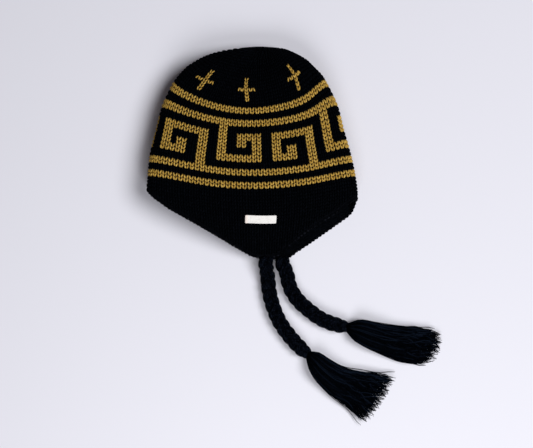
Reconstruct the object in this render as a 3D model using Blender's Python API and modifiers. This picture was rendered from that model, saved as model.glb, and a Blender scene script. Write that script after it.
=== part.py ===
"""A knitted earflap beanie lying on its side, with braided ties that end in tassels.

Metres, +Z up. The crown points to +Y and the earflaps to -Y. The origin is on the surface that
the hat rests on, under the middle of the hat without its ties.
"""

import math

import bmesh
import bpy
import numpy as np
from mathutils import Matrix, Vector

# The cap as it lies.
HALF_WIDTH = 0.1262  # from the middle to the fold at each side, at the hem
BODY_LENGTH = 0.1551  # along a side fold, from the foot of the band to the tip of the crown
BAND_FOOT_Y = -0.0272  # where the foot of the band meets the side folds
LYING_HEIGHT = 0.054
WALL = 0.004

# The hem edging, the label and the clearance between pieces that touch.
EDGING_DIAMETER = 0.005
LABEL_WIDTH = 0.037
LABEL_DEPTH = 0.010
LABEL_THICKNESS = 0.0008
LABEL_ACROSS = 0.536  # place along the near side, as a share of it from the left fold
LABEL_ROWS = -8.95
GAP = 0.0003

# The ties and their tassels.
TIE_DIAMETER = 0.015
TIE_SPACING = 0.007  # between the points that the ties are drawn through
LOCK_COUNT = 9
LOCK_DIAMETER = 0.0075
LOCK_PLACES = (0.0, 0.12, 0.25, 0.42, 0.60, 0.80, 1.0)  # shares of a lock's length
LOCK_UNEVENNESS = 0.0125  # between one cut end and the next longer one, as a share of the tassel
OUTER_LOCK_TRIM = 0.10  # how much shorter the outermost locks are, as a share of the tassel
LOCK_THINS_FROM = 0.6  # share of a lock's length where it starts to thin
LOCK_THINNING = 0.9  # thickness lost for each length of the lock from there on
GATHERED_SPREAD = 0.55  # how far apart the locks start, as a share of the full spread
SPREAD_RATE = 1.5  # share of the full spread gained for each length of the lock
LOCK_SETTLES_BY = 0.25  # share of a lock's length where it has come down from the head
LOWER_LOCK_START = 0.38  # height in the head, as a share of HEAD_HEIGHT
UPPER_LOCK_START = 0.64
HEAD_WIDTH = 0.027
HEAD_HEIGHT = 0.022
HEAD_REACH = 0.15  # from the neck to the middle of the head, as a share of the tassel's length
SKIRT_HEIGHT = 0.016
SKIRT_SINKS = 0.45  # how much lower the skirt lies at its cut end

# How finely the cap is divided.
COLUMNS = 64
LEVELS = 22
LOOP_POINTS = 240

# Sections of the cap from flap to crown, one row for each course named in the first column.
# rows: courses above the foot of the band
# left, right: the side folds, as shares of HALF_WIDTH
# up: how far along the folds, as a share of BODY_LENGTH
# droop: how far the course hangs below its folds at the middle, as a share of BODY_LENGTH
# bow: how square the hanging course is, 1 for a parabola
# middle, near, far: height of the folds and the rise and fall from there, as shares of LYING_HEIGHT
SECTION_COLUMNS = ("rows", "left", "right", "up", "droop", "bow", "middle", "near", "far")
SECTIONS = (
    (-26, -1.00, 1.005, -0.680, 0.102, 1.50, 0.14, 0.08, 0.06),
    (-20, -1.00, 1.005, -0.524, 0.102, 1.50, 0.21, 0.12, 0.17),
    (-16, -1.00, 1.005, -0.419, 0.102, 1.50, 0.32, 0.25, 0.40),
    (-12, -1.00, 1.005, -0.314, 0.102, 1.50, 0.40, 0.39, 0.54),
    (-8, -1.00, 1.004, -0.209, 0.102, 1.50, 0.45, 0.48, 0.58),
    (-4, -1.00, 0.998, -0.105, 0.102, 1.50, 0.465, 0.525, 0.59),
    (0, -0.990, 0.980, 0.003, 0.103, 1.50, 0.465, 0.535, 0.59),
    (6, -0.970, 0.938, 0.164, 0.115, 1.50, 0.465, 0.535, 0.59),
    (12, -0.915, 0.873, 0.350, 0.137, 1.25, 0.465, 0.535, 0.59),
    (18, -0.857, 0.816, 0.533, 0.160, 1.10, 0.465, 0.525, 0.57),
    (22, -0.782, 0.740, 0.671, 0.197, 0.85, 0.465, 0.515, 0.56),
    (24, -0.744, 0.702, 0.729, 0.205, 0.80, 0.465, 0.510, 0.55),
    (26, -0.701, 0.668, 0.775, 0.199, 0.75, 0.465, 0.495, 0.53),
    (30, -0.617, 0.585, 0.847, 0.166, 0.70, 0.465, 0.460, 0.48),
    (33, -0.525, 0.523, 0.897, 0.137, 0.70, 0.460, 0.410, 0.44),
    (36, -0.430, 0.447, 0.936, 0.105, 0.70, 0.450, 0.345, 0.375),
    (39, -0.312, 0.374, 0.965, 0.067, 0.70, 0.445, 0.260, 0.28),
    (42, -0.140, 0.285, 0.988, 0.033, 0.70, 0.460, 0.150, 0.165),
    (45, 0.070, 0.070, 1.000, 0.000, 0.70, 0.500, 0.000, 0.00),
)
TOP_ROWS = SECTIONS[-1][0]
NEAR_SQUARENESS = 3.6  # of the half section above the folds, 2 for an ellipse
FAR_SQUARENESS = 4.5  # of the half section that lies on the surface

# How far each earflap hangs below the band.
# across: place between the side folds, -1 at the left and 1 at the right
# near, far: courses below the foot of the band
HEM = (
    (-1.00, 3.0, 3.0),
    (-0.88, 5.7, 4.9),
    (-0.73, 8.2, 7.0),
    (-0.50, 11.2, 9.9),
    (-0.29, 14.4, 12.8),
    (-0.07, 18.0, 16.2),
    (0.04, 19.4, 17.9),
    (0.15, 19.6, 19.3),
    (0.25, 19.2, 20.0),
    (0.36, 16.4, 19.9),
    (0.50, 13.4, 17.6),
    (0.65, 11.0, 15.0),
    (0.80, 8.8, 12.4),
    (0.93, 6.4, 9.8),
    (1.00, 5.5, 6.0),
)
NEAR_TIP_ACROSS = 0.135
FAR_TIP_ACROSS = 0.305

# Where the ties lie after they leave the flaps, chosen by hand, on the surface.
NEAR_TIE_ROUTE = (
    (0.0185, -0.1470),
    (0.0206, -0.1666),
    (0.0255, -0.1860),
    (0.0322, -0.2017),
    (0.0419, -0.2163),
    (0.0528, -0.2296),
    (0.0673, -0.2430),
)
FAR_TIE_ROUTE = (
    (0.0417, -0.1440),
    (0.0450, -0.1599),
    (0.0545, -0.1760),
    (0.0661, -0.1872),
    (0.0807, -0.1981),
    (0.0965, -0.2054),
    (0.1146, -0.2102),
)

# Tassels: along is a share of the length, half_width and sway are shares of it too.
TASSEL_COLUMNS = ("along", "half_width", "sway")
NEAR_TASSEL = {
    "length": 0.100,
    "heading": -32.5,
    "shape": (
        (0.00, 0.04, 0.000),
        (0.11, 0.12, -0.024),
        (0.27, 0.16, -0.064),
        (0.43, 0.18, -0.080),
        (0.65, 0.22, -0.054),
        (0.92, 0.29, -0.009),
        (1.00, 0.31, 0.000),
    ),
}
FAR_TASSEL = {
    "length": 0.110,
    "heading": -14.0,
    "shape": (
        (0.00, 0.04, 0.000),
        (0.13, 0.125, -0.002),
        (0.31, 0.155, -0.021),
        (0.54, 0.175, -0.031),
        (0.79, 0.195, -0.012),
        (0.90, 0.190, -0.004),
        (1.00, 0.170, 0.000),
    ),
}

# Colours as linear values, with roughness.
BLACK_YARN = ((0.006, 0.007, 0.010), 0.9)
WOVEN_CREAM = ((0.80, 0.78, 0.72), 0.8)


def smooth_column(rows, name, at):
    """The named column of a table at a place along its first column, on a smooth curve."""
    columns = SECTION_COLUMNS if rows is SECTIONS else TASSEL_COLUMNS
    index = columns.index(name)
    places = [row[0] for row in rows]
    values = [row[index] for row in rows]
    return smooth_value(places, values, at)


def smooth_value(places, values, at):
    """A curve through the values that never swings past them between two places."""
    at = min(max(at, places[0]), places[-1])
    k = min(max(int(np.searchsorted(places, at)) - 1, 0), len(places) - 2)
    slopes = [(values[i + 1] - values[i]) / (places[i + 1] - places[i]) for i in range(len(places) - 1)]

    def tangent(i):
        if i == 0 or i == len(places) - 1:
            return slopes[min(i, len(slopes) - 1)]
        before, after = slopes[i - 1], slopes[i]
        return 0.0 if before * after <= 0 else 2 * before * after / (before + after)

    step = places[k + 1] - places[k]
    f = (at - places[k]) / step
    start, end = values[k], values[k + 1]
    return (
        start * (2 * f**3 - 3 * f**2 + 1)
        + step * tangent(k) * (f**3 - 2 * f**2 + f)
        + end * (3 * f**2 - 2 * f**3)
        + step * tangent(k + 1) * (f**3 - f**2)
    )


def half_course(rows, side):
    """Points of half a course from the left fold to the right one, on the near or the far side."""
    take = {name: smooth_column(SECTIONS, name, rows) for name in SECTION_COLUMNS[1:]}
    left = take["left"] * HALF_WIDTH
    right = take["right"] * HALF_WIDTH
    squareness = NEAR_SQUARENESS if side == "near" else FAR_SQUARENESS
    turn = np.linspace(0, math.pi, LOOP_POINTS)
    across = -np.sign(np.cos(turn)) * np.abs(np.cos(turn)) ** (2 / squareness)
    lift = np.abs(np.sin(turn)) ** (2 / squareness)
    hang = np.maximum(0, 1 - across**2) ** take["bow"]
    x = (left + right) / 2 + (right - left) / 2 * across
    y = BAND_FOOT_Y + BODY_LENGTH * (take["up"] - take["droop"] * hang)
    rise = take["near"] if side == "near" else -take["far"]
    z = np.maximum(0, LYING_HEIGHT * (take["middle"] + rise * lift))
    return np.stack([x, y, z], axis=1)


def on_cap(share, rows):
    """A point of the cap's outer face. share goes round once: 0 is the left fold, 0.5 the right one."""
    share = share % 1.0
    side = "near" if share < 0.5 else "far"
    points = half_course(rows, side)
    place = 2 * share if side == "near" else 2 * (1 - share)
    length = np.concatenate([[0], np.cumsum(np.linalg.norm(np.diff(points, axis=0), axis=1))])
    if length[-1] < 1e-6:
        return Vector(points[0])
    at = place * length[-1]
    return Vector([float(np.interp(at, length, points[:, axis])) for axis in range(3)])


def outward(share, rows):
    """The direction that the cap's outer face looks in."""
    round_it = on_cap(share + 0.004, rows) - on_cap(share - 0.004, rows)
    up_it = on_cap(share, rows + 0.4) - on_cap(share, rows - 0.4)
    return round_it.cross(up_it).normalized()


def across_at(share):
    """Place between the side folds, -1 to 1, at the depth of the flaps."""
    x = on_cap(share, -10).x
    left = smooth_column(SECTIONS, "left", -10) * HALF_WIDTH
    right = smooth_column(SECTIONS, "right", -10) * HALF_WIDTH
    return (2 * x - left - right) / (right - left)


def hem_rows(share):
    """The course that the hem has reached at this place round the cap."""
    column = 1 if share % 1.0 < 0.5 else 2
    return -smooth_value([row[0] for row in HEM], [row[column] for row in HEM], across_at(share))


def share_at(across, side):
    """The place round the cap, on the near or far side, that lies at this share between the folds."""
    low, high = (0.0, 0.5) if side == "near" else (1.0, 0.5)
    for _ in range(30):
        middle = (low + high) / 2
        if across_at(middle % 1.0) < across:
            low = middle
        else:
            high = middle
    return low


def make_collection(name):
    collection = bpy.data.collections.new(name)
    bpy.context.scene.collection.children.link(collection)
    return collection


def make_material(name, look):
    (red, green, blue), roughness = look
    material = bpy.data.materials.new(name)
    material.use_nodes = True
    shader = material.node_tree.nodes["Principled BSDF"]
    shader.inputs["Base Color"].default_value = (red, green, blue, 1)
    shader.inputs["Roughness"].default_value = roughness
    shader.inputs["Metallic"].default_value = 0
    return material


def make_object(name, data, material, collection):
    data.materials.append(material)
    made = bpy.data.objects.new(name, data)
    collection.objects.link(made)
    return made


def mesh_from(name, shape):
    bmesh.ops.recalc_face_normals(shape, faces=shape.faces)
    mesh = bpy.data.meshes.new(name)
    shape.to_mesh(mesh)
    shape.free()
    mesh.shade_smooth()
    return mesh


def thicken(made, thickness, offset):
    """A wall of this thickness from an open surface, inwards for an offset of -1."""
    solidify = made.modifiers.new("wall", "SOLIDIFY")
    solidify.thickness = thickness
    solidify.offset = offset
    solidify.use_even_offset = True
    solidify.use_quality_normals = True


def build_cap(collection, material):
    """The outer face from the hem to the tip of the crown, thickened inwards."""
    shape = bmesh.new()
    rings = []
    for level in range(LEVELS):
        climb = level / LEVELS
        ring = []
        for column in range(COLUMNS):
            share = column / COLUMNS
            hem = hem_rows(share)
            rows = hem + (TOP_ROWS - hem) * climb
            ring.append(shape.verts.new(on_cap(share, rows)))
        rings.append(ring)
    tip = shape.verts.new(on_cap(0, TOP_ROWS))
    for lower, upper in zip(rings, rings[1:]):
        for i in range(COLUMNS):
            j = (i + 1) % COLUMNS
            shape.faces.new((lower[i], lower[j], upper[j], upper[i]))
    for i in range(COLUMNS):
        shape.faces.new((rings[-1][i], rings[-1][(i + 1) % COLUMNS], tip))
    cap = make_object("knit_cap", mesh_from("knit_cap", shape), material, collection)
    thicken(cap, WALL, -1)
    return cap


def hem_frames(cap):
    """For each column of the built wall, the middle of its cut edge and the way out along the cloth."""
    bpy.context.view_layer.update()
    built = cap.evaluated_get(bpy.context.evaluated_depsgraph_get()).data.vertices
    inner = len(cap.data.vertices)
    middles = [(built[i].co + built[inner + i].co) / 2 for i in range(COLUMNS)]
    frames = []
    for i, middle in enumerate(middles):
        along = middles[(i + 1) % COLUMNS] - middles[i - 1]
        out = (built[inner + i].co - built[i].co).cross(along).normalized()
        above = (built[COLUMNS + i].co + built[inner + COLUMNS + i].co) / 2
        if out.dot(above - middle) > 0:
            out = -out
        frames.append((middle, out))
    return frames


def tube(name, points, diameter, closed, resolution, collection, material, thickness=None):
    """A round cord through the points. thickness is a share of the diameter at each one."""
    data = bpy.data.curves.new(name, "CURVE")
    data.dimensions = "3D"
    data.bevel_depth = diameter / 2
    data.bevel_resolution = resolution
    data.use_fill_caps = not closed
    spline = data.splines.new("POLY")
    spline.points.add(len(points) - 1)
    for i, point in enumerate(points):
        spline.points[i].co = (*point, 1)
        spline.points[i].radius = thickness[i] if thickness else 1
    spline.use_cyclic_u = closed
    return make_object(name, data, material, collection)


def build_edging(hem, collection, material):
    """A cord laid along the cut edge of the wall, all the way round."""
    points = []
    for middle, out in hem:
        place = middle + out * (EDGING_DIAMETER / 2 + 2 * GAP)
        place.z = max(place.z, EDGING_DIAMETER / 2)
        points.append(place)
    tube("hem_edging", points, EDGING_DIAMETER, True, 2, collection, material)


def build_label(collection, material):
    """A flat strip that follows the near flap, held a clearance off it."""
    share = LABEL_ACROSS / 2
    side_length = (on_cap(share + 0.01, LABEL_ROWS) - on_cap(share - 0.01, LABEL_ROWS)).length / 0.02
    row_length = (on_cap(share, LABEL_ROWS + 1) - on_cap(share, LABEL_ROWS - 1)).length / 2
    across_steps, down_steps = 10, 3
    shape = bmesh.new()
    grid = []
    for i in range(across_steps + 1):
        line = []
        for j in range(down_steps + 1):
            at = share + LABEL_WIDTH * (i / across_steps - 0.5) / side_length
            rows = LABEL_ROWS + LABEL_DEPTH * (j / down_steps - 0.5) / row_length
            line.append(shape.verts.new(on_cap(at, rows) + outward(at, rows) * GAP))
        grid.append(line)
    for left, right in zip(grid, grid[1:]):
        for j in range(down_steps):
            shape.faces.new((left[j], right[j], right[j + 1], left[j + 1]))
    label = make_object("label", mesh_from("label", shape), material, collection)
    thicken(label, LABEL_THICKNESS, 1)


def smooth_path(points, spacing):
    """Evenly spaced points on a smooth curve through the route's points."""
    points = [Vector(p) for p in points]
    padded = [2 * points[0] - points[1]] + points + [2 * points[-1] - points[-2]]
    fine = []
    for a, b, c, d in zip(padded, padded[1:], padded[2:], padded[3:]):
        for step in range(16):
            f = step / 16
            fine.append(
                0.5 * (2 * b + (c - a) * f + (2 * a - 5 * b + 4 * c - d) * f**2 + (3 * b - a - 3 * c + d) * f**3)
            )
    fine.append(points[-1])
    length = np.concatenate([[0], np.cumsum([(q - p).length for p, q in zip(fine, fine[1:])])])
    count = max(2, round(length[-1] / spacing))
    even = np.linspace(0, length[-1], count + 1)
    coords = np.array(fine)
    return [Vector([float(np.interp(at, length, coords[:, axis])) for axis in range(3)]) for at in even]


def tie_path(hem, tip_across, side, route):
    """Out of the tip of the flap, down to the surface and along it."""
    place = share_at(tip_across, side) * COLUMNS
    column = int(place)
    blend = place - column
    middle = hem[column][0].lerp(hem[(column + 1) % COLUMNS][0], blend)
    out = hem[column][1].lerp(hem[(column + 1) % COLUMNS][1], blend)
    level = Vector((out.x, out.y, 0)).normalized()
    rest = TIE_DIAMETER / 2
    start = middle + (out + level) * (EDGING_DIAMETER / 2 + 2 * GAP)
    start.z = max(start.z, rest)
    lead = start + level * (TIE_DIAMETER * 0.5)
    points = smooth_path([start, lead] + [Vector((x, y, rest)) for x, y in route], TIE_SPACING)
    for point in points:
        point.z = max(point.z, rest)
    return points


def tassel_frame(tassel, neck, along, sideways, height):
    """A point of a tassel from its neck: along and sideways in metres, height above the surface."""
    heading = math.radians(tassel["heading"])
    forward = Vector((math.cos(heading), math.sin(heading), 0))
    left = Vector((-forward.y, forward.x, 0))
    place = Vector((neck.x, neck.y, 0)) + forward * along + left * sideways
    place.z = height
    return place


def lock_points(tassel, neck, index):
    """The middle line and the thickness of one lock, from inside the head to its cut end."""
    length = tassel["length"]
    spread = 2 * index / (LOCK_COUNT - 1) - 1
    upper = index % 2 == 1
    reach = 1.0 - LOCK_UNEVENNESS * (index * 7 % 5) - OUTER_LOCK_TRIM * spread**2
    points, thickness = [], []
    for place in LOCK_PLACES:
        share = HEAD_REACH + (reach - HEAD_REACH) * place
        half_width = smooth_column(tassel["shape"], "half_width", share) * length
        sway = smooth_column(tassel["shape"], "sway", share) * length
        taper = 1.0 - LOCK_THINNING * max(0.0, place - LOCK_THINS_FROM)
        diameter = LOCK_DIAMETER * taper
        opened = min(1.0, GATHERED_SPREAD + SPREAD_RATE * place)
        sideways = sway + spread * (half_width - diameter / 2) * opened
        top = SKIRT_HEIGHT * (1 - SKIRT_SINKS * share) - diameter
        height = diameter / 2 + (top if upper else 0.0)
        start = HEAD_HEIGHT * (UPPER_LOCK_START if upper else LOWER_LOCK_START)
        settle = min(1.0, place / LOCK_SETTLES_BY)
        points.append(
            tassel_frame(tassel, neck, share * length, sideways, (1 - settle) * start + settle * height)
        )
        thickness.append(taper)
    return points, thickness


def build_tassel(name, tassel, tie, collection, cutters, material):
    """A rounded head with the locks of the skirt fused to it."""
    direction = (tie[-1] - tie[-2]).normalized()
    neck = tie[-1] + direction * GAP
    reach = HEAD_REACH * tassel["length"]
    sway = smooth_column(tassel["shape"], "sway", HEAD_REACH) * tassel["length"]
    shape = bmesh.new()
    bmesh.ops.create_uvsphere(shape, u_segments=14, v_segments=9, radius=1)
    bmesh.ops.scale(shape, verts=shape.verts, vec=(reach, HEAD_WIDTH / 2, HEAD_HEIGHT / 2))
    turn = Matrix.Rotation(math.radians(tassel["heading"]), 3, "Z")
    bmesh.ops.rotate(shape, verts=shape.verts, matrix=turn)
    centre = tassel_frame(tassel, neck, reach, sway, HEAD_HEIGHT / 2)
    bmesh.ops.translate(shape, verts=shape.verts, vec=centre)
    head = make_object(name, mesh_from(name, shape), material, collection)
    for index in range(LOCK_COUNT):
        points, thickness = lock_points(tassel, neck, index)
        title = f"{name}_lock_{index}"
        lock = tube(title, points, LOCK_DIAMETER, False, 1, cutters, material, thickness)
        fuse(head, lock, cutters)


def fuse(head, lock, cutters):
    """Joins a lock to the head. The curve becomes a mesh with welded caps first."""
    bpy.context.view_layer.update()
    graph = bpy.context.evaluated_depsgraph_get()
    mesh = bpy.data.meshes.new_from_object(lock.evaluated_get(graph))
    shape = bmesh.new()
    shape.from_mesh(mesh)
    bmesh.ops.remove_doubles(shape, verts=shape.verts, dist=0.00001)
    bmesh.ops.recalc_face_normals(shape, faces=shape.faces)
    shape.to_mesh(mesh)
    shape.free()
    solid = bpy.data.objects.new(lock.name + "_solid", mesh)
    solid.matrix_world = lock.matrix_world
    solid.hide_render = True
    solid.display_type = "WIRE"
    cutters.objects.link(solid)
    bpy.data.objects.remove(lock)
    union = head.modifiers.new("fused", "BOOLEAN")
    union.operation = "UNION"
    union.solver = "EXACT"
    union.object = solid


def main():
    for old in list(bpy.data.objects):
        bpy.data.objects.remove(old)
    hat = make_collection("earflap_beanie")
    cutters = make_collection("earflap_beanie_cutters")
    yarn = make_material("wool_yarn", BLACK_YARN)
    woven = make_material("woven_label", WOVEN_CREAM)
    hem = hem_frames(build_cap(hat, yarn))
    build_edging(hem, hat, yarn)
    build_label(hat, woven)
    near_path = tie_path(hem, NEAR_TIP_ACROSS, "near", NEAR_TIE_ROUTE)
    far_path = tie_path(hem, FAR_TIP_ACROSS, "far", FAR_TIE_ROUTE)
    tube("near_tie", near_path, TIE_DIAMETER, False, 3, hat, yarn)
    tube("far_tie", far_path, TIE_DIAMETER, False, 3, hat, yarn)
    build_tassel("near_tassel", NEAR_TASSEL, near_path, hat, cutters, yarn)
    build_tassel("far_tassel", FAR_TASSEL, far_path, hat, cutters, yarn)


main()
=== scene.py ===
# Earflap beanie laid flat on its side, with two braided ties that end in tassels.
# Metres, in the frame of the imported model: the crown points to +Y and the near earflap faces up.
import math

import bpy
import numpy as np
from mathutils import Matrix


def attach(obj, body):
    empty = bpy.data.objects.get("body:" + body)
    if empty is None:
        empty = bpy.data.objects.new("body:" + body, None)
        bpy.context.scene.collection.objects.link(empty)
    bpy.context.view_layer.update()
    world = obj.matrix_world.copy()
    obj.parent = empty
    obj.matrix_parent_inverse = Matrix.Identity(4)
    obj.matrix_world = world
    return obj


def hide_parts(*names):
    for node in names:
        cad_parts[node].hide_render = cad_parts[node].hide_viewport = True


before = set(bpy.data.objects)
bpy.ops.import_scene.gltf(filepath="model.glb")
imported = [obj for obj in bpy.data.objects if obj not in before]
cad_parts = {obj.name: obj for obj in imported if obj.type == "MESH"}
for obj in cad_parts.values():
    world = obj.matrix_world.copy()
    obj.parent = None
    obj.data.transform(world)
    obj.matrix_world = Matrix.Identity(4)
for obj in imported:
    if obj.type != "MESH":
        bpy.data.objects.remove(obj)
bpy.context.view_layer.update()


# Camera

camera = {
    "over": (0.0172, -0.0846),  # the point of the surface under the middle of the picture
    "height": 1.6,
    "pictureWidth": 0.640,  # what the picture takes in, at the height of the hat's edge
    "edgeHeight": 0.025,
    "sensor": 36.0,
}


def placeCamera():
    data = bpy.data.cameras.new("camera")
    data.sensor_width = camera["sensor"]
    toEdge = camera["height"] - camera["edgeHeight"]
    data.lens = camera["sensor"] * toEdge / camera["pictureWidth"]
    made = bpy.data.objects.new("camera", data)
    made.location = (*camera["over"], camera["height"])
    bpy.context.scene.collection.objects.link(made)
    bpy.context.scene.camera = made


placeCamera()
print("camera placed")


# The cloth of the cap, worked out as in the part's source

cap = {
    "halfWidth": 0.1262,
    "length": 0.1551,
    "bandFoot": -0.0272,
    "height": 0.054,
    "wall": 0.004,
    "nearSquareness": 3.6,
    "farSquareness": 4.5,
    "lowestRow": -22.0,
    "topRow": 45.0,
    "rowStep": 0.25,
    "columns": 720,
    "fineSteps": 400,  # along half a course, before its points are spaced evenly
    "foldRow": -10.0,  # the course whose folds the hem is measured between
}

# rows, left and right fold, how far up the cap, droop, bow, height of the folds, rise, fall
sections = np.array([
    (-26, -1.00, 1.005, -0.680, 0.102, 1.50, 0.14, 0.08, 0.06),
    (-20, -1.00, 1.005, -0.524, 0.102, 1.50, 0.21, 0.12, 0.17),
    (-16, -1.00, 1.005, -0.419, 0.102, 1.50, 0.32, 0.25, 0.40),
    (-12, -1.00, 1.005, -0.314, 0.102, 1.50, 0.40, 0.39, 0.54),
    (-8, -1.00, 1.004, -0.209, 0.102, 1.50, 0.45, 0.48, 0.58),
    (-4, -1.00, 0.998, -0.105, 0.102, 1.50, 0.465, 0.525, 0.59),
    (0, -0.990, 0.980, 0.003, 0.103, 1.50, 0.465, 0.535, 0.59),
    (6, -0.970, 0.938, 0.164, 0.115, 1.50, 0.465, 0.535, 0.59),
    (12, -0.915, 0.873, 0.350, 0.137, 1.25, 0.465, 0.535, 0.59),
    (18, -0.857, 0.816, 0.533, 0.160, 1.10, 0.465, 0.525, 0.57),
    (22, -0.782, 0.740, 0.671, 0.197, 0.85, 0.465, 0.515, 0.56),
    (24, -0.744, 0.702, 0.729, 0.205, 0.80, 0.465, 0.510, 0.55),
    (26, -0.701, 0.668, 0.775, 0.199, 0.75, 0.465, 0.495, 0.53),
    (30, -0.617, 0.585, 0.847, 0.166, 0.70, 0.465, 0.460, 0.48),
    (33, -0.525, 0.523, 0.897, 0.137, 0.70, 0.460, 0.410, 0.44),
    (36, -0.430, 0.447, 0.936, 0.105, 0.70, 0.450, 0.345, 0.375),
    (39, -0.312, 0.374, 0.965, 0.067, 0.70, 0.445, 0.260, 0.28),
    (42, -0.140, 0.285, 0.988, 0.033, 0.70, 0.460, 0.150, 0.165),
    (45, 0.070, 0.070, 1.000, 0.000, 0.70, 0.500, 0.000, 0.00),
])

# place between the folds, courses below the foot of the band on the near and on the far flap
hemDepth = np.array([
    (-1.00, 3.0, 3.0),
    (-0.88, 5.7, 4.9),
    (-0.73, 8.2, 7.0),
    (-0.50, 11.2, 9.9),
    (-0.29, 14.4, 12.8),
    (-0.07, 18.0, 16.2),
    (0.04, 19.4, 17.9),
    (0.15, 19.6, 19.3),
    (0.25, 19.2, 20.0),
    (0.36, 16.4, 19.9),
    (0.50, 13.4, 17.6),
    (0.65, 11.0, 15.0),
    (0.80, 8.8, 12.4),
    (0.93, 6.4, 9.8),
    (1.00, 5.5, 6.0),
])


def unit(vectors):
    return vectors / np.maximum(np.linalg.norm(vectors, axis=-1, keepdims=True), 1e-12)


def runAlong(points):
    # how far along the line each of its points lies
    return np.concatenate([[0], np.cumsum(np.linalg.norm(np.diff(points, axis=0), axis=1))])


def readAlong(points, length, at):
    return np.stack([np.interp(at, length, points[:, axis]) for axis in range(3)], axis=-1)


def throughPoints(places, values, at):
    # a smooth curve through the values that doesn't swing past them
    at = np.clip(at, places[0], places[-1])
    k = np.clip(np.searchsorted(places, at, side="right") - 1, 0, len(places) - 2)
    slopes = np.diff(values) / np.diff(places)
    before, after = slopes[:-1], slopes[1:]
    level = before * after <= 0
    total = np.where(level, 1, before + after)
    inner = np.where(level, 0, 2 * before * after / total)
    tangents = np.concatenate([slopes[:1], inner, slopes[-1:]])
    step = places[k + 1] - places[k]
    f = (at - places[k]) / step
    return (
        values[k] * (2 * f**3 - 3 * f**2 + 1)
        + step * tangents[k] * (f**3 - 2 * f**2 + f)
        + values[k + 1] * (3 * f**2 - 2 * f**3)
        + step * tangents[k + 1] * (f**3 - f**2)
    )


def halfCourse(row, near, count):
    # evenly spaced points from the left fold to the right one
    _, left, right, up, droop, bow, middle, rise, fall = (
        float(throughPoints(sections[:, 0], column, row)) for column in sections.T
    )
    squareness = cap["nearSquareness"] if near else cap["farSquareness"]
    turn = np.linspace(0, math.pi, cap["fineSteps"])
    across = -np.sign(np.cos(turn)) * np.abs(np.cos(turn)) ** (2 / squareness)
    lift = np.abs(np.sin(turn)) ** (2 / squareness)
    hang = np.maximum(0, 1 - across**2) ** bow
    x = cap["halfWidth"] * ((left + right) / 2 + (right - left) / 2 * across)
    y = cap["bandFoot"] + cap["length"] * (up - droop * hang)
    z = np.maximum(0, cap["height"] * (middle + (rise if near else -fall) * lift))
    points = np.stack([x, y, z], axis=1)
    length = runAlong(points)
    return readAlong(points, length, np.linspace(0, length[-1], count))


class Cloth:
    # places on the cap by share of the way round, course, and height above its face
    def __init__(self):
        self.rows = np.arange(cap["lowestRow"], cap["topRow"] + cap["rowStep"] / 2, cap["rowStep"])
        half = cap["columns"] // 2
        rings = []
        for row in self.rows:
            near = halfCourse(row, True, half + 1)
            far = halfCourse(row, False, half + 1)
            rings.append(np.concatenate([near[:-1], far[::-1]]))
        self.points = np.array(rings)
        ring = self.points[:, :-1]
        around = np.roll(ring, -1, axis=1) - np.roll(ring, 1, axis=1)
        around = np.concatenate([around, around[:, :1]], axis=1)
        face = np.cross(around, np.gradient(self.points, axis=0))
        face[-1] = face[-2]
        self.faces = unit(face)

    def read(self, grid, share, row):
        across = (share % 1.0) * cap["columns"]
        i = np.minimum(across.astype(int), cap["columns"] - 1)
        up = (row - self.rows[0]) / cap["rowStep"]
        up = np.clip(up, 0, len(self.rows) - 1.001)  # short of the last one, with none above it
        j = up.astype(int)
        f, g = (across - i)[..., None], (up - j)[..., None]
        low = grid[j, i] * (1 - f) + grid[j, i + 1] * f
        high = grid[j + 1, i] * (1 - f) + grid[j + 1, i + 1] * f
        return low * (1 - g) + high * g

    def facing(self, share, row):
        return unit(self.read(self.faces, share, row))

    def at(self, share, row, height=0.0):
        share, row = np.broadcast_arrays(np.asarray(share, float), np.asarray(row, float))
        raised = np.asarray(height, float)[..., None] * np.ones(share.shape + (1,))
        return self.read(self.points, share, row) + self.facing(share, row) * raised

    def hem(self, share):
        # the course that the cloth ends at
        share = np.asarray(share, float) % 1.0
        x = self.at(share, np.full(share.shape, cap["foldRow"]))[..., 0]
        left, right = (
            throughPoints(sections[:, 0], sections[:, side], cap["foldRow"]) * cap["halfWidth"]
            for side in (1, 2)
        )
        across = (2 * x - left - right) / (right - left)
        near = throughPoints(hemDepth[:, 0], hemDepth[:, 1], across)
        far = throughPoints(hemDepth[:, 0], hemDepth[:, 2], across)
        return -np.where(share < 0.5, near, far)


cloth = Cloth()
print("cloth worked out")


# Shader maths as expressions

class Wire:
    # one socket; plus, minus and times add Math nodes to it
    def __init__(self, shop, socket):
        self.shop = shop
        self.socket = socket

    def joined(self, operation, first, second):
        return self.shop.node("ShaderNodeMath", {"operation": operation}, {0: first, 1: second})

    def __add__(self, other):
        return self.joined("ADD", self, other)

    def __sub__(self, other):
        return self.joined("SUBTRACT", self, other)

    def __rsub__(self, other):
        return self.joined("SUBTRACT", other, self)

    def __mul__(self, other):
        return self.joined("MULTIPLY", self, other)

    __radd__ = __add__
    __rmul__ = __mul__


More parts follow.
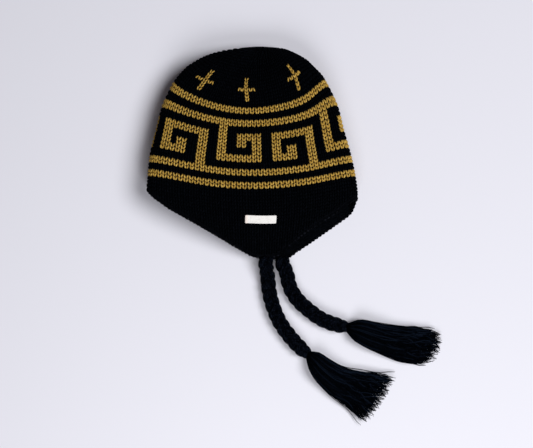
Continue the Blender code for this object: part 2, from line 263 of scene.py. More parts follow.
class Shop:
    # makes the nodes of one material
    def __init__(self, name):
        self.material = bpy.data.materials.new(name)
        self.material.use_nodes = True
        self.tree = self.material.node_tree
        self.shader = self.tree.nodes["Principled BSDF"]
        self.place = self.node("ShaderNodeTexCoord", {}, {}, "Object")

    def feed(self, socket, value):
        if isinstance(value, Wire):
            self.tree.links.new(value.socket, socket)
        else:
            socket.default_value = value

    def node(self, kind, settings, sockets, out=0):
        made = self.tree.nodes.new(kind)
        for key, value in settings.items():
            setattr(made, key, value)
        for key, value in sockets.items():
            self.feed(made.inputs[key], value)
        return Wire(self, made.outputs[out])

    def noise(self, size, detail=2.0, roughness=0.55):
        # mottling about this many metres across, from 0 to 1
        sockets = {
            "Vector": self.place,
            "Scale": 1 / size,
            "Detail": detail,
            "Roughness": roughness,
        }
        return self.node("ShaderNodeTexNoise", {}, sockets, "Fac")

    def clamp(self, value, low, high):
        # 0 up to the low value, 1 from the high one
        sockets = {"Value": value, "From Min": low, "From Max": high}
        return self.node("ShaderNodeMapRange", {"clamp": True}, sockets)

    def blend(self, share, first, second):
        # the Mix node's colours are its sockets 6 and 7, and its mixed colour is output 2
        sockets = {0: share}
        for socket, colour in ((6, first), (7, second)):
            sockets[socket] = (*colour, 1) if isinstance(colour, tuple) else colour
        return self.node("ShaderNodeMix", {"data_type": "RGBA"}, sockets, 2)

    def bump(self, height, distance, strength=1.0):
        sockets = {"Height": height, "Distance": distance, "Strength": strength}
        return self.node("ShaderNodeBump", {}, sockets)

    def finish(self, **sockets):
        for key, value in sockets.items():
            self.feed(self.shader.inputs[key.replace("_", " ")], value)
        return self.material


# Yarns

# what they all share
spun = {
    "fibre": 0.0005,
    "fibreRoughness": 0.65,
    "detail": 3.0,
    # the heather mottle is partly the yarn's own tone and partly painted shade of the hollows
    # between fibres and stitches
    "heatherAndShade": 0.0038,
    "heatherAndShadeRange": (0.30, 0.72),
    "heatherAndShadeShare": 0.7,
    "fibreShare": 0.5,
    "highlightFleckShare": 0.75,
    "smoother": 0.18,  # where the fibre is light
    "relief": 0.00025,
    "reliefStrength": 0.7,
    "fuzzRough": 0.6,
}

# In each yarn the darkest colour is partly the yarn's own tone and partly painted shade. The
# brightest colour is a painted highlight, sprinkled in flecks and, by lift, laid over random strands
# or stitch legs.
goldYarn = {
    "darkToneAndShade": (0.140, 0.076, 0.006),
    "body": (0.480, 0.276, 0.039),
    "paintedHighlight": (0.770, 0.540, 0.138),
    "islandHighlightRange": (0.3, 1.0),  # among the strands or stitches, from and to, where the painted highlight is laid
    "lift": 0.12,
    "highlightFleck": 0.0013,
    "highlightFlecks": (0.46, 0.66),
    "fuzz": 0.05,
    "gloss": 0.06,
    "shine": (1.0, 0.80, 0.45),
    "rough": 0.92,
}

blackYarn = {
    "darkToneAndShade": (0.0001, 0.0002, 0.0004),
    "body": (0.0004, 0.0006, 0.0011),
    "paintedHighlight": (0.0032, 0.0042, 0.0064),
    "islandHighlightRange": (0.6, 1.0),
    "lift": 0.3,
    "highlightFleck": 0.0010,
    "highlightFlecks": (0.40, 0.70),
    "fuzz": 0.0,
    "gloss": 0.01,
    "shine": (0.70, 0.80, 1.0),
    "rough": 0.92,
}

# the black yarn again with more painted highlight, standing in for the light that the hem's ridge
# catches
paintedLightEdgingYarn = {
    **blackYarn,
    "paintedHighlight": (0.0084, 0.0092, 0.0134),
    "islandHighlightRange": (0.25, 0.9),
    "lift": 0.72,
    "highlightFlecks": (0.52, 0.77),
}

# the ties and tassels are of a smoother yarn
cordYarn = {
    "darkToneAndShade": (0.0001, 0.0002, 0.0005),
    "body": (0.0002, 0.0004, 0.0010),
    "paintedHighlight": (0.0120, 0.0195, 0.0370),
    "islandHighlightRange": (0.74, 1.0),
    "lift": 0.40,
    "highlightFleck": 0.0016,
    "highlightFlecks": (0.60, 0.82),
    "fuzz": 0.0,
    "gloss": 0.018,
    "shine": (0.40, 0.60, 1.0),
    "rough": 0.70,
}

# the cord yarn again, with its painted highlights set otherwise for the braid
braidYarn = {
    **cordYarn,
    "paintedHighlight": (0.0150, 0.0200, 0.0345),
    "islandHighlightRange": (0.4, 1.0),
    "lift": 0.10,
    "highlightFlecks": (0.54, 0.68),
}


def yarnMaterial(name, yarn):
    shop = Shop(name)
    own = shop.node("ShaderNodeNewGeometry", {}, {}, "Random Per Island")
    fibre = shop.noise(spun["fibre"], spun["detail"], spun["fibreRoughness"])
    tone = shop.clamp(shop.noise(spun["heatherAndShade"]), *spun["heatherAndShadeRange"])
    highlightFleck = shop.clamp(shop.noise(yarn["highlightFleck"], spun["detail"]), *yarn["highlightFlecks"])
    mottled = tone * spun["heatherAndShadeShare"] + fibre * spun["fibreShare"]
    # painted shade mixed with the yarn's own tone: the mottle runs from the darkest colour up to the
    # body colour
    colour = shop.blend(mottled, yarn["darkToneAndShade"], yarn["body"])
    # painted highlights, in flecks
    colour = shop.blend(highlightFleck * spun["highlightFleckShare"], colour, yarn["paintedHighlight"])
    # painted highlights on random strands and stitch legs
    colour = shop.blend(shop.clamp(own, *yarn["islandHighlightRange"]) * yarn["lift"], colour, yarn["paintedHighlight"])
    return shop.finish(
        Base_Color=colour,
        Roughness=yarn["rough"] - fibre * spun["smoother"],
        Normal=shop.bump(fibre, spun["relief"], spun["reliefStrength"]),
        Specular_IOR_Level=yarn["gloss"],
        Specular_Tint=(*yarn["shine"], 1),
        Sheen_Weight=yarn["fuzz"],
        Sheen_Roughness=spun["fuzzRough"],
    )


gold = yarnMaterial("gold_yarn", goldYarn)
black = yarnMaterial("black_yarn", blackYarn)
paintedLightEdgingBlack = yarnMaterial("black_edging_yarn_painted_light", paintedLightEdgingYarn)
braidBlack = yarnMaterial("black_braid_yarn", braidYarn)
cordBlack = yarnMaterial("black_cord_yarn", cordYarn)
print("yarns made")


# Meshes from swept strands

lowest = 0.0001  # nothing reaches into the surface that the hat lies on


def addPiece(name, verts, faces, material):
    verts[:, 2] = np.maximum(verts[:, 2], lowest)
    mesh = bpy.data.meshes.new(name)
    mesh.from_pydata(verts.tolist(), [], faces)
    mesh.update()
    mesh.shade_smooth()
    mesh.materials.append(material)
    made = bpy.data.objects.new(name, mesh)
    bpy.context.scene.collection.objects.link(made)
    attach(made, "root")
    return made


def sweep(paths, wide, thick, up, sides):
    # closed strands along many paths at once, wide across and thick along up
    count, steps = paths.shape[:2]
    along = unit(np.gradient(paths, axis=1))
    across = unit(np.cross(along, np.broadcast_to(up, paths.shape)))
    raised = np.cross(across, along)
    wide = np.broadcast_to(wide, (count, steps))[..., None, None]
    thick = np.broadcast_to(thick, (count, steps))[..., None, None]
    angle = (np.arange(sides) + 0.5) * 2 * math.pi / sides
    ring = (np.cos(angle)[:, None] * across[:, :, None] * wide
            + np.sin(angle)[:, None] * raised[:, :, None] * thick)
    verts = (paths[:, :, None] + ring).reshape(-1, 3)
    first = np.arange(count)[:, None, None] * steps * sides
    step = np.arange(steps - 1)[None, :, None] * sides
    side = np.arange(sides)[None, None, :]
    after = (side + 1) % sides
    near, far = first + step, first + step + sides
    quads = np.stack([near + side, far + side, far + after, near + after], axis=-1).reshape(-1, 4)
    starts = first[:, 0] + np.arange(sides)
    ends = (first[:, 0] + (steps - 1) * sides) + np.arange(sides)[::-1]
    return verts, quads.tolist() + starts.tolist() + ends.tolist()


# Hem edging

edging = {
    "diameter": 0.005,
    "gap": 0.0006,
    "pitch": 0.0050,
    "reach": 112,  # degrees that a stitch wraps to either side of straight out
    "lean": 0.45,  # of the pitch, from one end of a stitch to the other
    "ring": 0.00125,
    "yarn": 0.00158,
    "steps": 8,
    "sides": 6,
    "taper": 0.45,
    "flatness": 0.9,
    "uneven": 0.05,  # in its spacing, as a share of a stitch
    "unevenYarn": 0.08,
    "cores": ((0.0020, 0.0002), (0.0014, 0.0024)),  # radius, and how far back towards the cloth
    "coreSteps": 480,
    "coreSides": 8,
    "columns": 720,  # places round the hem
    "seed": 3,
}


def hemLine():
    # the middle of the cloth's edge, the way out of the cloth there, and its face
    share = np.arange(edging["columns"]) / edging["columns"]
    hem = cloth.hem(share)
    edge = cloth.at(share, hem, -cap["wall"] / 2)
    along = unit(np.roll(edge, -1, axis=0) - np.roll(edge, 1, axis=0))
    face = cloth.facing(share, hem)
    return edge, unit(np.cross(along, face)), face


def hemEdging():
    edge, out, face = hemLine()
    centre = edge + out * (edging["diameter"] / 2 + edging["gap"])
    centre[:, 2] = np.maximum(centre[:, 2], edging["diameter"] / 2)
    length = runAlong(np.concatenate([centre, centre[:1]]))
    count = round(length[-1] / edging["pitch"])

    def roundIt(values, at):
        return readAlong(np.concatenate([values, values[:1]]), length, at % length[-1])

    rng = np.random.default_rng(edging["seed"])
    part = np.linspace(-1, 1, edging["steps"])
    place = np.arange(count) + rng.normal(0, edging["uneven"], count)
    at = place[:, None] * length[-1] / count + part * edging["pitch"] * edging["lean"] / 2
    turn = np.radians(edging["reach"] * part)[None, :, None]
    away = roundIt(out, at) * np.cos(turn) + roundIt(face, at) * np.sin(turn)
    fatness = 1 + edging["unevenYarn"] * rng.normal(size=(count, 1))
    wide = edging["yarn"] * (1 - edging["taper"] * part**4) * fatness
    wraps = roundIt(centre, at) + away * edging["ring"]
    verts, faces = sweep(wraps, wide, wide * edging["flatness"], away, edging["sides"])
    core = np.linspace(0, length[-1], edging["coreSteps"] + 1)[None, :]
    for radius, back in edging["cores"]:
        inside = roundIt(centre, core) - back * roundIt(out, core)
        upward = roundIt(face, core)
        coreVerts, coreFaces = sweep(inside, radius, radius, upward, edging["coreSides"])
        faces += [[i + len(verts) for i in f] for f in coreFaces]
        verts = np.concatenate([verts, coreVerts])
    made = addPiece("edging", verts, faces, paintedLightEdgingBlack)
    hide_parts("hem_edging")


hemEdging()
print("hem edging made")


# Braided ties

tie = {
    "diameter": 0.015,
    "spacing": 0.007,
    "plait": 0.0324,  # along the tie, for one strand to cross over and back
    "swing": 0.0055,
    "square": 1.35,  # how long a strand stays at the edge of the tie
    "lift": 0.0031,
    "bundle": 0.0029,  # from the middle of a strand to its outer yarns
    "yarns": 8,
    "yarnRadius": 0.00120,
    "yarnSides": 6,
    "twist": 0.05,  # along the strand, for its yarns to turn by one radian
    "pinches": ((0.06, 0.006), (0.45, 0.004)),  # how much and over what length, at start and end
    "samples": 110,
    "smoothing": 6,
    "lead": 0.5,  # of the diameter, straight out of the hem
    "sewn": 0.0018,  # how far a tie runs back into the edging
}

ties = {
    "near": {
        "across": 0.135,
        "route": (
            (0.0185, -0.1470), (0.0206, -0.1666), (0.0255, -0.1860), (0.0322, -0.2017),
            (0.0419, -0.2163), (0.0528, -0.2296), (0.0673, -0.2430),
        ),
    },
    "far": {
        "across": 0.305,
        "route": (
            (0.0417, -0.1440), (0.0450, -0.1599), (0.0545, -0.1760), (0.0661, -0.1872),
            (0.0807, -0.1981), (0.0965, -0.2054), (0.1146, -0.2102),
        ),
    },
}


def smoothPath(points, spacing):
    # evenly spaced points on a smooth curve through the route's points
    before, after = 2 * points[0] - points[1], 2 * points[-1] - points[-2]
    padded = np.concatenate([[before], points, [after]])
    steps = 16  # from one point of the route to the next
    f = (np.arange(steps) / steps)[:, None]
    parts = []
    for a, b, c, d in zip(padded, padded[1:], padded[2:], padded[3:]):
        parts.append(0.5 * (2 * b + (c - a) * f + (2 * a - 5 * b + 4 * c - d) * f**2
                            + (3 * b - a - 3 * c + d) * f**3))
    fine = np.concatenate(parts + [points[-1:]])
    length = runAlong(fine)
    count = round(length[-1] / spacing)
    return readAlong(fine, length, np.linspace(0, length[-1], count + 1))


def shareAcross(across, near):
    # the place round the cap that lies at this share between the folds
    share = np.linspace(0 if near else 1, 0.5, 2001)  # close enough to read the place between two
    x = cloth.at(share, np.full(share.shape, cap["foldRow"]))[:, 0]
    left, right = x[0], x[-1]
    return float(np.interp(across, (2 * x - left - right) / (right - left), share))


def tiePath(name):
    spec = ties[name]
    share = shareAcross(spec["across"], name == "near")
    column = round(share * edging["columns"]) % edging["columns"]
    edge, out, _ = (values[column] for values in hemLine())
    level = np.array([out[0], out[1], 0]) / math.hypot(out[0], out[1])
    rest = tie["diameter"] / 2
    start = edge + (out + level) * (edging["diameter"] / 2 + edging["gap"])
    start[2] = max(start[2], rest)
    lead = start + level * (tie["diameter"] * tie["lead"])
    route = np.array([(x, y, rest) for x, y in spec["route"]])
    path = smoothPath(np.concatenate([[start, lead], route]), tie["spacing"])
    path[:, 2] = np.maximum(path[:, 2], rest)
    return path


def braid(name, path):
    # three strands, each one yarn with the others round it, that cross over each other in turn
    sewn = path[0] - unit(path[1] - path[0]) * tie["sewn"]
    path = np.concatenate([[sewn], path[1:]])
    length = runAlong(path)
    at = np.linspace(0, length[-1], tie["samples"])
    line = readAlong(path, length, at)
    for _ in range(tie["smoothing"]):
        line[1:-1] = (line[:-2] + 2 * line[1:-1] + line[2:]) / 4
    along = unit(np.gradient(line, axis=0))
    sideways = unit(np.cross(along, (0, 0, 1)))
    upward = np.cross(sideways, along)
    tight = 1
    for fromEnd, (pinch, reach) in zip((at, length[-1] - at), tie["pinches"]):
        tight = tight - pinch * np.exp(-fromEnd / reach)
    paths = []
    for third in range(3):
        turn = 2 * math.pi * (at / tie["plait"] + third / 3)
        swing = np.tanh(tie["square"] * np.sin(turn)) / math.tanh(tie["square"])
        across = tie["swing"] * swing * tight
        over = tie["lift"] * np.sin(2 * turn) * tight
        centre = line + across[:, None] * sideways + over[:, None] * upward
        course = unit(np.gradient(centre, axis=0))
        first = unit(np.cross(course, upward))
        second = np.cross(first, course)
        paths.append(centre)
        for yarn in range(1, tie["yarns"]):
            angle = 2 * math.pi * yarn / (tie["yarns"] - 1) + at / tie["twist"]
            ring = np.cos(angle)[:, None] * first + np.sin(angle)[:, None] * second
            paths.append(centre + ring * (tie["bundle"] * tight)[:, None])
    radius = tie["yarnRadius"]
    verts, faces = sweep(np.array(paths), radius, radius, (0.0, 0.0, 1.0), tie["yarnSides"])
    made = addPiece(name + "_braid", verts, faces, braidBlack)
    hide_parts(name + "_tie")
    return made


# Tassels

# along the tassel, half width and sway, all as shares of its length
# reach: share of the length at the middle, and what a place p across adds for p and for p squared
tassels = {
    "near": {
        "length": 0.100,
        "heading": -32.5,
        "shape": np.array([
            (0.00, 0.04, 0.000),
            (0.11, 0.12, -0.024),
            (0.27, 0.16, -0.064),
            (0.43, 0.18, -0.080),
            (0.65, 0.22, -0.054),
            (0.92, 0.29, -0.009),
            (1.00, 0.31, 0.000),
        ]),
        "reach": (1.085, 0.0, -0.065),
        "seed": 5,
    },
    "far": {
        "length": 0.110,
        "heading": -14.0,
        "shape": np.array([
            (0.00, 0.04, 0.000),
            (0.13, 0.125, -0.002),
            (0.31, 0.155, -0.021),
            (0.54, 0.175, -0.031),
            (0.79, 0.195, -0.012),
            (0.90, 0.190, -0.004),
            (1.00, 0.170, 0.000),
        ]),
        "reach": (1.065, 0.05, -0.13),
        "seed": 8,
    },
}

strand = {
    "count": 360,
    "radius": 0.00058,
    "steps": 17,
    "sides": 4,
    "crowded": 1.1,  # above 1, the points of a strand stand closer at the neck
    "neck": 0.12,  # share of the length in which the tassel settles on the surface
    "loose": (0.25, 1.2),  # share of the length where strands start to part, and how slowly
    "wave": 0.0044,
    "waves": (9, 19, 8),  # sideways, small ones sideways, and up
    "smallWave": 0.5,
    "upWave": 0.8,
    "ragged": (0.22, 1.3),  # share of the length, and how seldom a strand is short
    "astray": 0.22,  # how far a strand drifts sideways by its cut end, as a share of the half width
    "flare": (0.12, 0.0008),  # past the outline, as a share of the half width and in metres
    "press": 1.05,  # how softly the outline holds the strands in
    "float": 0.0002,
    "fatness": (0.85, 0.3),  # the least, and what chance adds
    "tip": 0.55,
}

# along the tassel as a share of its length, half thickness in metres
tasselDepth = np.array([
    (0.00, 0.0040),
    (0.06, 0.0085),
    (0.14, 0.0110),
    (0.28, 0.0098),
    (0.50, 0.0074),
    (0.75, 0.0056),
    (1.00, 0.0042),
])


def tassel(name, path):
    spec = tassels[name]
    rng = np.random.default_rng(spec["seed"])
    heading = math.radians(spec["heading"])
    forward = np.array([math.cos(heading), math.sin(heading), 0])
    left = np.array([-forward[1], forward[0], 0])
    neck = path[-1]
    count, length = strand["count"], spec["length"]
    spread = np.sqrt((np.arange(count) + 0.5) / count)
    angle = np.arange(count) * math.pi * (3 - math.sqrt(5))
    p = (spread * np.cos(angle))[:, None]
    q = (spread * np.sin(angle))[:, None]
    middleReach, leaning, rounding = spec["reach"]
    reach = middleReach + leaning * p[:, 0] + rounding * p[:, 0] ** 2
    short, seldom = strand["ragged"]
    reach = reach - short * rng.random(count) ** seldom
    share = np.linspace(0, 1, strand["steps"]) ** strand["crowded"] * reach[:, None]
    width = throughPoints(spec["shape"][:, 0], spec["shape"][:, 1], share) * length
    sway = throughPoints(spec["shape"][:, 0], spec["shape"][:, 2], share) * length
    depth = throughPoints(tasselDepth[:, 0], tasselDepth[:, 1], share)
    start, slowly = strand["loose"]
    loose = np.clip(share - start, 0, 1) ** slowly
    phase = rng.random((4, count, 1)) * 2 * math.pi
    pace = 1 + rng.random((2, count, 1))
    wide, small, tall = strand["waves"]
    waveSide = np.sin(share * wide * pace[0] + phase[0])
    waveSide = waveSide + strand["smallWave"] * np.sin(share * small + phase[1])
    waveUp = np.sin(share * tall * pace[1] + phase[2])
    astray = strand["astray"] * rng.normal(size=(count, 1)) * loose * width
    apart = p * (width - strand["radius"]) + waveSide * loose * strand["wave"] + astray
    flare, past = strand["flare"]
    most = width * (1 + flare * loose) + past
    sideways = sway + most * np.tanh(apart / most * strand["press"]) / math.tanh(strand["press"])
    settle = np.clip(share / strand["neck"], 0, 1)
    middle = neck[2] * (1 - settle) + depth * settle
    height = middle + q * (depth - strand["radius"])
    height = height + waveUp * loose * strand["wave"] * strand["upWave"]
    floating = strand["float"] * rng.random((count, 1))
    height = np.maximum(height, strand["radius"] + lowest + floating)
    paths = (neck * np.array([1, 1, 0])
             + (share * length)[..., None] * forward
             + sideways[..., None] * left)
    paths[..., 2] = height
    taper = np.where(np.arange(strand["steps"]) == strand["steps"] - 1, strand["tip"], 1.0)
    least, more = strand["fatness"]
    radius = strand["radius"] * (least + more * rng.random((count, 1))) * taper
    verts, faces = sweep(paths, radius, radius, (0.0, 0.0, 1.0), strand["sides"])
    made = addPiece(name + "_skirt", verts, faces, cordBlack)
    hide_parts(name + "_tassel")
    return made


def tiesAndTassels():
    for name in ties:
        path = tiePath(name)
        made = braid(name, path)
        end = tassel(name, path)


tiesAndTassels()


# Stitches of the cap

stitch = {
    # across in stitches, up in courses, height of the middle, half width in stitches, half thickness
    "leg": np.array([
        (0.135, -0.08, -0.00205, 0.110, 0.00060),
        (0.160, 0.06, -0.00105, 0.168, 0.00090),
        (0.208, 0.26, -0.00060, 0.190, 0.00115),
        (0.268, 0.48, -0.00062, 0.190, 0.00115),
        (0.322, 0.72, -0.00115, 0.165, 0.00095),
        (0.352, 0.93, -0.00225, 0.100, 0.00060),
    ]),
    "sides": 5,
    "unevenness": 0.035,
    "sideways": 0.6,  # of the unevenness
    "fullStep": 0.0055,  # narrower stitches are of thinner yarn
    "shortest": 0.4,  # a shorter one at the hem is left to the stitch above it
    "topGap": 0.1,
    "firstRow": -21,
    "band": (0, 24),  # its first course, and the first of the crown
    "round": 88,
    # up to which course, stitches round
    "decreases": ((22, 88), (34, 77), (37, 63), (39, 49), (41, 35), (43, 21), (44, 14), (99, 7)),
    "turn": 1.15,  # how far round, in stitches, the chart starts
    "crossRound": 77,
    "crossTurn": 1.0,  # the same for the courses of the crosses
    "seed": 11,
}

stripeRows = (0, 1, 4, 5, 18, 19, 22, 23)

keyChart = {
    "repeat": 22,
    "start": 14,
    "rows": (6, 17),
    # first and last stitch, first and last course
    "bars": (
        (0, 1, 8, 17), (0, 8, 8, 9), (7, 8, 8, 15), (4, 8, 14, 15), (4, 5, 12, 15),
        (11, 12, 8, 15), (11, 19, 14, 15), (18, 19, 6, 15), (11, 15, 8, 9), (14, 15, 8, 11),
    ),
}

cross = {
    "every": 11,
    "stitch": 6,  # of each section
    "foot": 26,
    "rows": 7,
    "armRow": 29,
    "armLegs": (-3, 4),  # legs from the upright's own two, to the left and to the right
}

# how the knitting lies askew on the cap, in soft swells
askew = {
    # place round the cap, width, then two courses, each with how many stitches along
    "along": (
        (0.08, 0.06, 0, -0.15, 17, -0.27),
        (0.15, 0.07, 0, 0.0, 17, 0.45),
        (0.28, 0.05, 0, 0.2, 17, 0.2),
        (0.43, 0.05, 0, -0.45, 17, -0.45),
        (0.11, 0.05, 24, 0.2, 29.5, 1.12),
        (0.24, 0.05, 26, 0.0, 33, -0.85),
        (0.385, 0.05, 24, 0.2, 29, 1.3),
        (0.385, 0.05, 29, 0.0, 33, -0.3),
    ),
    # place round the cap, width, courses up, first and last course
    "up": (
        (0.42, 0.07, 3.2, 25.5, 45),
        (0.455, 0.045, 1.3, 15, 32),
        (0.24, 0.06, -0.45, 20, 40),
        (0.39, 0.08, -0.42, -9, 26),
        (0.0, 0.04, 0.7, 22, 45),
        (1.0, 0.04, 0.7, 22, 45),
    ),
}


def laid(share, row):
    # where a place of the chart lies on the cap
    def swell(place, width):
        return np.exp(-((share % 1 - place) / width) ** 2)

    def climbed(first, last):
        return np.clip((row - first) / (last - first), 0, 1)

    newShare, newRow = share, row
    for place, width, first, low, last, high in askew["along"]:
        stitches = low + (high - low) * climbed(first, last)
        newShare = newShare + swell(place, width) * stitches / stitch["round"]
    for place, width, courses, first, last in askew["up"]:
        newRow = newRow + courses * swell(place, width) * np.sin(math.pi * climbed(first, last))
    return newShare, newRow


def stitchesRound(row):
    return next(count for end, count in stitch["decreases"] if row < end)


def isGold(row, wale, leg):
    if row in stripeRows:
        return True
    if keyChart["rows"][0] <= row <= keyChart["rows"][1]:
        place = (wale - keyChart["start"]) % keyChart["repeat"]
        return any(a <= place <= b and low <= row <= high for a, b, low, high in keyChart["bars"])
    place = 2 * (wale % cross["every"] - cross["stitch"]) + leg
    if cross["foot"] <= row < cross["foot"] + cross["rows"] and place in (0, 1):
        return True
    return row == cross["armRow"] and cross["armLegs"][0] <= place <= cross["armLegs"][1]


def stitchLegs():
    # one line for each leg: share, stitches round, foot, height, side, course, gold
    legs = []
    for row in range(stitch["firstRow"], int(cap["topRow"])):
        count = stitchesRound(row)
        turn = stitch["crossTurn"] if count == stitch["crossRound"] else stitch["turn"]
        shares = (np.arange(count) + 0.5 + turn) / count
        hems = cloth.hem(shares)
        for wale in range(count):
            hem = hems[wale]
            if hem >= row + 1 - stitch["shortest"]:
                continue
            foot = row if hem < row - stitch["shortest"] else hem
            for leg in (0, 1):
                golden = isGold(row, wale, leg)
                legs.append((shares[wale], count, foot, row + 1 - foot, 2 * leg - 1, row, golden))
    return np.array(legs)


def knitPiece(name, legs, material, rng):
    shape = stitch["leg"]
    wobble = rng.normal(0, stitch["unevenness"], (len(legs), 3))
    share, count, foot, tall, side = (legs[:, i:i + 1] for i in range(5))
    u = shape[:, 0] * side + wobble[:, :1] * stitch["sideways"]
    row = foot + shape[:, 1] * tall + wobble[:, 1:2]
    at, row = laid(share + u / count, np.minimum(row, cap["topRow"] - stitch["topGap"]))
    paths = cloth.at(at, row, np.broadcast_to(shape[:, 2], row.shape))
    left, right = (cloth.at(share + half / count, foot + 0.5) for half in (-0.5, 0.5))
    step = np.linalg.norm(right - left, axis=-1)
    wide = shape[:, 3] * step * (1 + wobble[:, 2:3])
    thick = shape[:, 4] * np.minimum(1, step / stitch["fullStep"])
    verts, faces = sweep(paths, wide, thick, cloth.facing(at, row), stitch["sides"])
    return addPiece(name, verts, faces, material)


def knitCap():
    rng = np.random.default_rng(stitch["seed"])
    legs = stitchLegs()
    row, golden = legs[:, 5], legs[:, 6] > 0
    bandFoot, crownFoot = stitch["band"]
    pieces = (
        ("flap_stitches", row < bandFoot, black),
        ("band_stitches", (row >= bandFoot) & (row < crownFoot) & ~golden, black),
        ("band_gold_stitches", (row < crownFoot) & golden, gold),
        ("crown_stitches", (row >= crownFoot) & ~golden, black),
        ("cross_stitches", (row >= crownFoot) & golden, gold),
    )
    for name, chosen, material in pieces:
        knitPiece(name, legs[chosen], material, rng)
        print(name, int(chosen.sum()) // 2, "stitches")


# Yarn drawn through the last stitches to close the crown

closing = {
    "rows": (42.6, 43.3, 44.0, 44.6),
    "sink": 0.0012,
    "radius": 0.0018,
    "sides": 10,
}


def closeTip():
    rows = np.array(closing["rows"])
    left = cloth.at(np.zeros(len(rows)), rows)
    right = cloth.at(np.full(len(rows), 0.5), rows)[::-1]
    path = np.concatenate([left, right]) - np.array([0, closing["sink"], 0])
    radius = closing["radius"]
    verts, faces = sweep(path[None], radius, radius, (0.0, 0.0, 1.0), closing["sides"])
    addPiece("crown_closing", verts, faces, black)


knitCap()
closeTip()


# The back of the fabric, inside the cap

lining = {
    "columns": 176,
    "levels": 60,
    "outer": -0.0019,
    "inner": -0.0034,
    "inset": 0.05,  # courses, from the hem and from the top
    # each stitch shows inside as a low arch: across in stitches, up in courses, height, fatness
    "purl": np.array([
        (-0.62, 0.10, -0.0031, 0.5),
        (-0.30, 0.42, -0.0037, 0.9),
        (0.00, 0.56, -0.0039, 1.0),
        (0.30, 0.42, -0.0037, 0.9),
        (0.62, 0.10, -0.0031, 0.5),
    ]),
    "purlRadius": 0.00085,
    "purlFlatness": 0.85,
    "purlSides": 4,
    "purlRows": 14,
    "purlClear": 0.3,  # courses that an arch may reach past the hem
}


def fabricBack():
    share = np.arange(lining["columns"]) / lining["columns"]
    hem = cloth.hem(share) + lining["inset"]
    climb = (np.arange(lining["levels"]) / lining["levels"])[:, None]
    row = hem + (cap["topRow"] - lining["inset"] - hem) * climb
    shares = np.broadcast_to(share, row.shape)
    outer = cloth.at(shares, row, lining["outer"])
    inner = cloth.at(shares, row, lining["inner"])
    tips = np.array([outer[-1].mean(axis=0), inner[-1].mean(axis=0)])
    verts = np.concatenate([outer.reshape(-1, 3), inner.reshape(-1, 3), tips])
    n, levels = lining["columns"], lining["levels"]
    back = n * levels
    faces = []
    for i in range(n):
        j = (i + 1) % n
        for level in range(levels - 1):
            a, b = level * n + i, level * n + j
            faces.append((a, b, b + n, a + n))
            faces.append((back + b, back + a, back + a + n, back + b + n))
        faces.append((j, i, back + i, back + j))
        top = (levels - 1) * n
        faces.append((top + i, top + j, 2 * back))
        faces.append((back + top + j, back + top + i, 2 * back + 1))
    made = addPiece("fabric_back", verts, faces, black)
    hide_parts("knit_cap")


def purlSide():
    u, v, height, fatness = lining["purl"].T
    every = (np.arange(stitch["round"]) + 0.5) / stitch["round"]
    paths, inward = [], []
    for row in range(stitch["firstRow"], lining["purlRows"]):
        share = every[cloth.hem(every) < row + lining["purlClear"]]
        at = share[:, None] + u / stitch["round"]
        up = row + np.broadcast_to(v, at.shape)
        paths.append(cloth.at(at, up, np.broadcast_to(height, at.shape)))
        inward.append(cloth.facing(at, up))
    wide = fatness * lining["purlRadius"]
    thick = wide * lining["purlFlatness"]
    paths, inward = np.concatenate(paths), np.concatenate(inward)
    verts, faces = sweep(paths, wide, thick, inward, lining["purlSides"])
    addPiece("purl_side", verts, faces, black)


fabricBack()
purlSide()
print("inside of the cap made")


# Woven label, bare

label = {
    "width": 0.037,
    "depth": 0.010,
    "thickness": 0.0008,
    "clear": 0.00035,
    "corner": 0.0011,
    "across": 0.536,
    "row": -8.95,
    "tilt": -0.045,
    "fold": 0.0030,  # of the strip turned over at the left end
    "foldRise": 0.00035,
    "foldSlope": 0.0004,
    "crease": 0.0003,
    "edgeRound": 0.0004,
    "edgeDrop": 0.0003,
    "steps": (74, 22),
    "thread": 0.0005,
    "relief": 0.00010,
    "reliefStrength": 0.8,
    "wear": 0.004,
    "worn": (0.3, 0.7),
    "threadTopHighlightShare": 0.35,
    "smoother": 0.1,  # on top of the threads
    "rough": 0.85,
    "gloss": 0.3,
    # the last colour of each tape is a painted highlight on the tops of the threads
    "tape": ((0.78, 0.76, 0.73), (0.87, 0.855, 0.83), (0.94, 0.93, 0.91)),
    "foldedTape": ((0.74, 0.65, 0.59), (0.85, 0.765, 0.705), (0.92, 0.85, 0.80)),
}


def labelMaterial(name, worn, clean, raised):
    shop = Shop(name)
    turns = 2 * math.pi / label["thread"]
    warp, weft = (
        shop.node("ShaderNodeMath", {"operation": "SINE"}, {0: place * turns})
        for place in (shop.node("ShaderNodeSeparateXYZ", {}, {0: shop.place}, axis) for axis in "XY")
    )
    weave = warp * weft * 0.5 + 0.5
    wear = shop.clamp(shop.noise(label["wear"]), *label["worn"])
    # painted highlight: the weave lightens the colour where the threads rise
    colour = shop.blend(weave * label["threadTopHighlightShare"], shop.blend(wear, worn, clean), raised)
    return shop.finish(
        Base_Color=colour,
        Roughness=label["rough"] - weave * label["smoother"],
        Normal=shop.bump(weave, label["relief"], label["reliefStrength"]),
        Specular_IOR_Level=label["gloss"],
    )


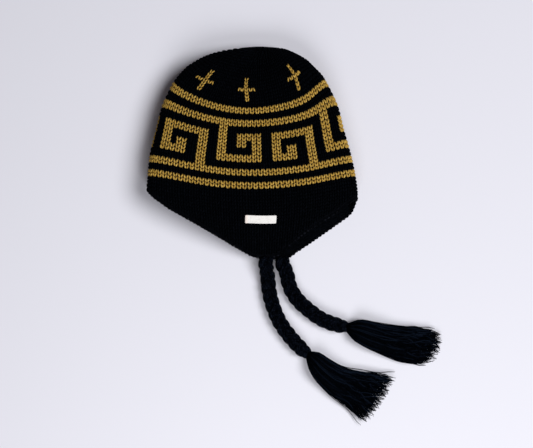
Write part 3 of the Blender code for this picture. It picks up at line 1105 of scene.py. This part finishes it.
def labelPiece():
    share, row, probe = label["across"] / 2, label["row"], 0.01
    sideStep = cloth.at(share + probe, row) - cloth.at(share - probe, row)
    sideLength = np.linalg.norm(sideStep) / (2 * probe)
    rowLength = np.linalg.norm(cloth.at(share, row + 1) - cloth.at(share, row - 1)) / 2
    columns, lines = label["steps"]
    a = np.linspace(-1, 1, columns)[:, None] * np.ones(lines)
    b = np.ones(columns)[:, None] * np.linspace(-1, 1, lines)
    y = b * label["depth"] / 2
    over = np.maximum(0, np.abs(y) - (label["depth"] / 2 - label["corner"]))
    inset = label["corner"] - np.sqrt(np.maximum(0, label["corner"] ** 2 - over**2))
    x = a * (label["width"] / 2 - inset)
    fromEdge = np.minimum(label["depth"] / 2 - np.abs(y), label["width"] / 2 - np.abs(x))
    rounded = (np.sqrt(np.clip(fromEdge / label["edgeRound"], 0, 1)) - 1) * label["edgeDrop"]
    fromFold = x + label["width"] / 2 - label["fold"]
    turned = label["foldRise"] * np.clip(-fromFold / label["foldSlope"] + 0.5, 0, 1)
    crease = -label["crease"] * np.exp(-(fromFold / label["crease"]) ** 2)
    top = label["clear"] + label["thickness"] + rounded + turned + crease
    cos, sin = math.cos(label["tilt"]), math.sin(label["tilt"])
    shares = share + (x * cos - y * sin) / sideLength
    rows = row + (x * sin + y * cos) / rowLength
    upper = cloth.at(shares, rows, top).reshape(-1, 3)
    under = cloth.at(shares, rows, np.full(x.shape, label["clear"])).reshape(-1, 3)
    verts = np.concatenate([upper, under])
    back = columns * lines
    faces = []
    for i in range(columns - 1):
        for j in range(lines - 1):
            k = i * lines + j
            faces.append((k, k + lines, k + lines + 1, k + 1))
            faces.append((back + k, back + k + 1, back + k + lines + 1, back + k + lines))
    rim = [i * lines for i in range(columns)]
    rim += [(columns - 1) * lines + j for j in range(1, lines)]
    rim += [i * lines + lines - 1 for i in range(columns - 2, -1, -1)]
    rim += list(range(lines - 2, 0, -1))
    for p, q in zip(rim, rim[1:] + rim[:1]):
        faces.append((q, p, back + p, back + q))
    woven = labelMaterial("woven_tape", *label["tape"])
    made = addPiece("label_tape", verts, faces, woven)
    made.data.materials.append(labelMaterial("folded_tape", *label["foldedTape"]))
    # the first columns of faces are the strip that is turned over
    turnedColumns = round(label["fold"] / label["width"] * (columns - 1))
    for face in made.data.polygons[:2 * (lines - 1) * turnedColumns]:
        face.material_index = 1
    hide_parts("label")


labelPiece()
print("label made")


# Surface and light

stage = {
    "size": 3.0,
    "below": 0.0002,
    "colour": (0.775, 0.775, 0.845),
    "grain": 0.0012,
    "grainShare": 0.25,
    "grainTone": 0.97,
    "rough": 0.85,
    "gloss": 0.2,
    "key": {"place": (2.60, 0.00, 4.10), "size": 2.90, "power": 195.0},
    "fill": {"place": (0.12, -0.95, 1.05), "size": 0.80, "power": 8.0},
    "sky": (0.93, 0.86, 0.96),
    "skyStrength": 0.08,
}


def layFloor():
    half = stage["size"] / 2
    mesh = bpy.data.meshes.new("surface")
    corners = ((-half, -half), (half, -half), (half, half), (-half, half))
    mesh.from_pydata([(x, y, -stage["below"]) for x, y in corners], [], [(0, 1, 2, 3)])
    shop = Shop("paper")
    grain = shop.noise(stage["grain"], detail=3.0) * stage["grainShare"]
    darker = tuple(tone * stage["grainTone"] for tone in stage["colour"])
    mesh.materials.append(shop.finish(
        Base_Color=shop.blend(grain, stage["colour"], darker),
        Roughness=stage["rough"],
        Specular_IOR_Level=stage["gloss"],
    ))
    made = bpy.data.objects.new("surface", mesh)
    bpy.context.scene.collection.objects.link(made)


def addLight(name):
    spec = stage[name]
    data = bpy.data.lights.new(name, "AREA")
    data.shape = "DISK"
    data.size = spec["size"]
    data.energy = spec["power"]
    made = bpy.data.objects.new(name, data)
    made.location = spec["place"]
    x, y, z = spec["place"]
    made.rotation_euler = (math.atan2(math.hypot(x, y), z), 0, math.atan2(y, x) + math.pi / 2)
    bpy.context.scene.collection.objects.link(made)


def lightIt():
    addLight("key")
    addLight("fill")
    world = bpy.data.worlds.new("sky")
    world.use_nodes = True
    background = world.node_tree.nodes["Background"]
    background.inputs["Color"].default_value = (*stage["sky"], 1)
    background.inputs["Strength"].default_value = stage["skyStrength"]
    bpy.context.scene.world = world
    bpy.context.scene.view_settings.view_transform = "Standard"


layFloor()
lightIt()
print("floor and light made")
